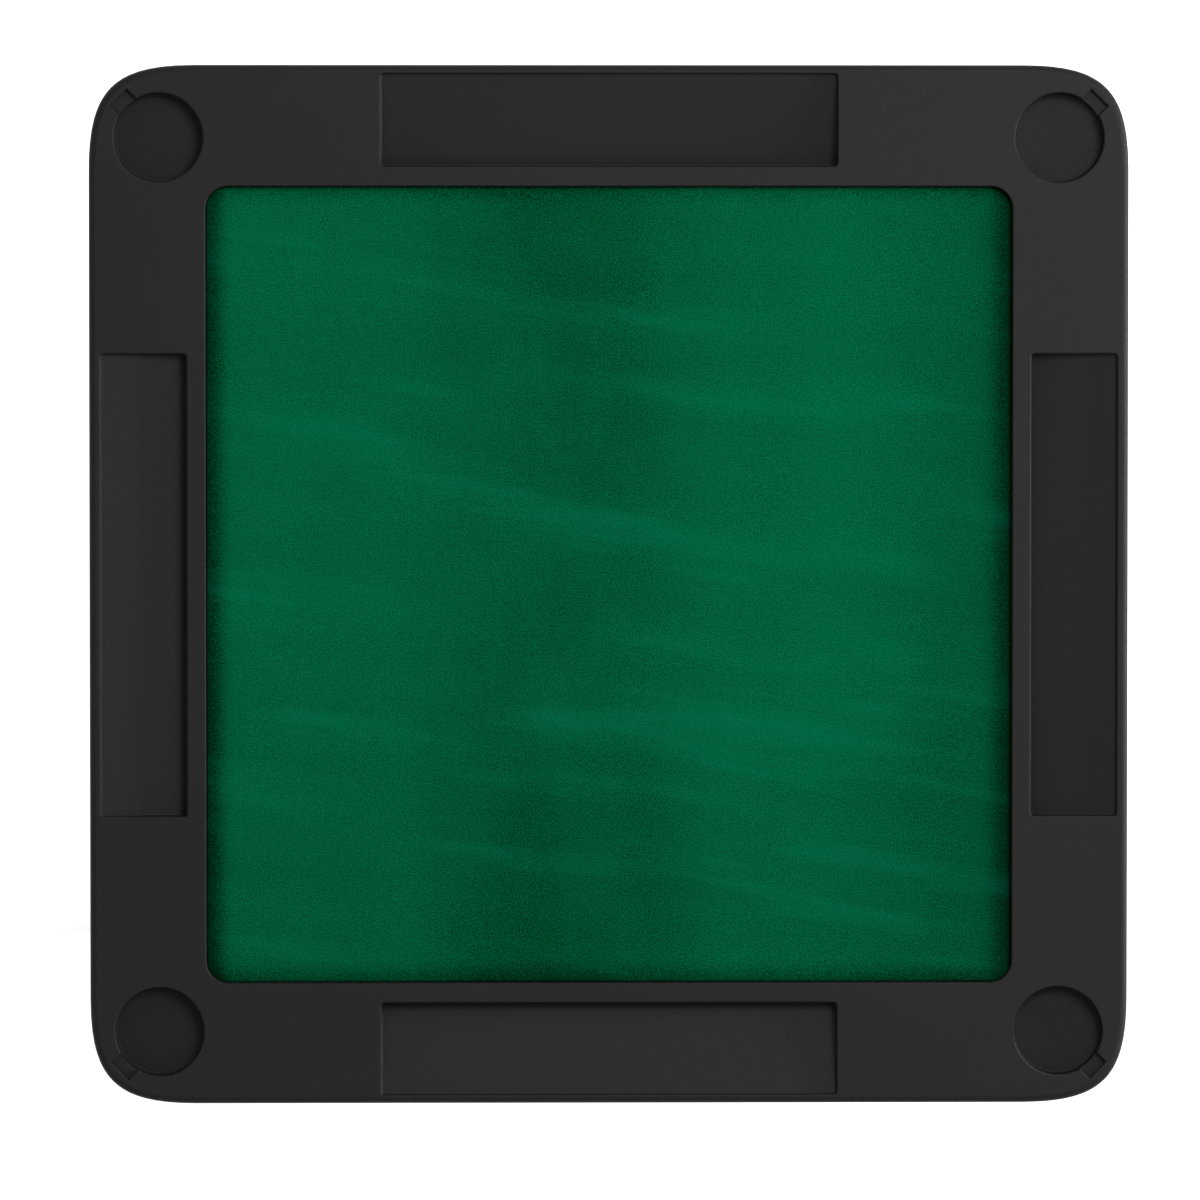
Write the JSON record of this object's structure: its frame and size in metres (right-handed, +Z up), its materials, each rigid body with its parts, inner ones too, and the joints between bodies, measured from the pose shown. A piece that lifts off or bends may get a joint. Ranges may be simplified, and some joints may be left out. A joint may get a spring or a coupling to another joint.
{
  "type": "folding poker table",
  "caption": "Square card table with a green felt field, a black moulded rim with corner cup holders and sloping chip trays, and steel legs that fold flat under the top.",
  "frame": {"origin": "on the floor, under the centre of the table top, with the legs standing", "axes": "+Z up, +Y to the back of the table, +X to its right seen from the front"},
  "size_m": [0.889, 0.889, 0.724],
  "materials": {
    "rim_plastic": "near-black moulded plastic with a fine leathery grain",
    "felt": "green short-nap felt",
    "underlay": "dark foam-backed underlay",
    "board": "bare fibreboard",
    "black_steel": "black powder coat",
    "stay_steel": "black powder coat, worn at the pivots",
    "zinc": "zinc-plated",
    "clip_nylon": "dark nylon",
    "foot_rubber": "matt black rubber"
  },
  "bodies": {
    "top": {"top_frame": "rim_plastic", "base_board": "board", "play_board": "board", "felt_underlay": "underlay", "felt_cloth": "felt", "frame_screws": "zinc", "play_board_screws": "zinc", "hinge_bracket_screws": "zinc", "stay_bracket_screws": "zinc", "leg_clip_screws": "zinc", "hinge_bracket_back_right": "black_steel", "hinge_pin_back_right": "zinc", "stay_bracket_back_right": "black_steel", "stay_rivet_back_right": "zinc", "leg_clip_back_right": "clip_nylon", "hinge_bracket_back_left": "black_steel", "hinge_pin_back_left": "zinc", "stay_bracket_back_left": "black_steel", "stay_rivet_back_left": "zinc", "leg_clip_back_left": "clip_nylon", "hinge_bracket_front_left": "black_steel", "hinge_pin_front_left": "zinc", "stay_bracket_front_left": "black_steel", "stay_rivet_front_left": "zinc", "leg_clip_front_left": "clip_nylon", "hinge_bracket_front_right": "black_steel", "hinge_pin_front_right": "zinc", "stay_bracket_front_right": "black_steel", "stay_rivet_front_right": "zinc", "leg_clip_front_right": "clip_nylon"},
    "leg_back_right": {"leg_tube_back_right": "black_steel", "foot_back_right": "foot_rubber", "leg_rivet_back_right": "zinc"},
    "stay_upper_back_right": {"stay_upper_back_right": "stay_steel", "elbow_rivet_back_right": "zinc"},
    "stay_lower_back_right": {"stay_lower_back_right": "stay_steel"},
    "leg_back_left": {"leg_tube_back_left": "black_steel", "foot_back_left": "foot_rubber", "leg_rivet_back_left": "zinc"},
    "stay_upper_back_left": {"stay_upper_back_left": "stay_steel", "elbow_rivet_back_left": "zinc"},
    "stay_lower_back_left": {"stay_lower_back_left": "stay_steel"},
    "leg_front_left": {"leg_tube_front_left": "black_steel", "foot_front_left": "foot_rubber", "leg_rivet_front_left": "zinc"},
    "stay_upper_front_left": {"stay_upper_front_left": "stay_steel", "elbow_rivet_front_left": "zinc"},
    "stay_lower_front_left": {"stay_lower_front_left": "stay_steel"},
    "leg_front_right": {"leg_tube_front_right": "black_steel", "foot_front_right": "foot_rubber", "leg_rivet_front_right": "zinc"},
    "stay_upper_front_right": {"stay_upper_front_right": "stay_steel", "elbow_rivet_front_right": "zinc"},
    "stay_lower_front_right": {"stay_lower_front_right": "stay_steel"}
  },
  "joints": [
    {"name": "leg_fold_back_right", "type": "hinge", "parent": "top", "child": "leg_back_right", "pos_m": [0.364, 0.335, 0.676], "axis": [0, 1, 0], "range_deg": [0, 93]},
    {"name": "stay_upper_turn_back_right", "type": "hinge", "parent": "top", "child": "stay_upper_back_right", "pos_m": [0.254, 0.3177, 0.676], "axis": [0, 1, 0], "range_deg": [-51.91, 0]},
    {"name": "stay_lower_turn_back_right", "type": "hinge", "parent": "leg_back_right", "child": "stay_lower_back_right", "pos_m": [0.37185, 0.32225, 0.52621], "axis": [0, 1, 0], "range_deg": [0, 35.29]},
    {"name": "leg_fold_back_left", "type": "hinge", "parent": "top", "child": "leg_back_left", "pos_m": [-0.335, 0.364, 0.676], "axis": [-1, 0, 0], "range_deg": [0, 93]},
    {"name": "stay_upper_turn_back_left", "type": "hinge", "parent": "top", "child": "stay_upper_back_left", "pos_m": [-0.3177, 0.254, 0.676], "axis": [-1, 0, 0], "range_deg": [-51.91, 0]},
    {"name": "stay_lower_turn_back_left", "type": "hinge", "parent": "leg_back_left", "child": "stay_lower_back_left", "pos_m": [-0.32225, 0.37185, 0.52621], "axis": [-1, 0, 0], "range_deg": [0, 35.29]},
    {"name": "leg_fold_front_left", "type": "hinge", "parent": "top", "child": "leg_front_left", "pos_m": [-0.364, -0.335, 0.676], "axis": [0, -1, 0], "range_deg": [0, 93]},
    {"name": "stay_upper_turn_front_left", "type": "hinge", "parent": "top", "child": "stay_upper_front_left", "pos_m": [-0.254, -0.3177, 0.676], "axis": [0, -1, 0], "range_deg": [-51.91, 0]},
    {"name": "stay_lower_turn_front_left", "type": "hinge", "parent": "leg_front_left", "child": "stay_lower_front_left", "pos_m": [-0.37185, -0.32225, 0.52621], "axis": [0, -1, 0], "range_deg": [0, 35.29]},
    {"name": "leg_fold_front_right", "type": "hinge", "parent": "top", "child": "leg_front_right", "pos_m": [0.335, -0.364, 0.676], "axis": [1, 0, 0], "range_deg": [0, 93]},
    {"name": "stay_upper_turn_front_right", "type": "hinge", "parent": "top", "child": "stay_upper_front_right", "pos_m": [0.3177, -0.254, 0.676], "axis": [1, 0, 0], "range_deg": [-51.91, 0]},
    {"name": "stay_lower_turn_front_right", "type": "hinge", "parent": "leg_front_right", "child": "stay_lower_front_right", "pos_m": [0.32225, -0.37185, 0.52621], "axis": [1, 0, 0], "range_deg": [0, 35.29]}
  ],
  "couplings": [
    {"joint": "stay_upper_turn_back_right", "follows": "leg_fold_back_right", "ratio": -0.55706},
    {"joint": "stay_lower_turn_back_right", "follows": "leg_fold_back_right", "ratio": 0.37843},
    {"joint": "stay_upper_turn_back_left", "follows": "leg_fold_back_left", "ratio": -0.55706},
    {"joint": "stay_lower_turn_back_left", "follows": "leg_fold_back_left", "ratio": 0.37843},
    {"joint": "stay_upper_turn_front_left", "follows": "leg_fold_front_left", "ratio": -0.55706},
    {"joint": "stay_lower_turn_front_left", "follows": "leg_fold_front_left", "ratio": 0.37843},
    {"joint": "stay_upper_turn_front_right", "follows": "leg_fold_front_right", "ratio": -0.55706},
    {"joint": "stay_lower_turn_front_right", "follows": "leg_fold_front_right", "ratio": 0.37843}
  ]
}
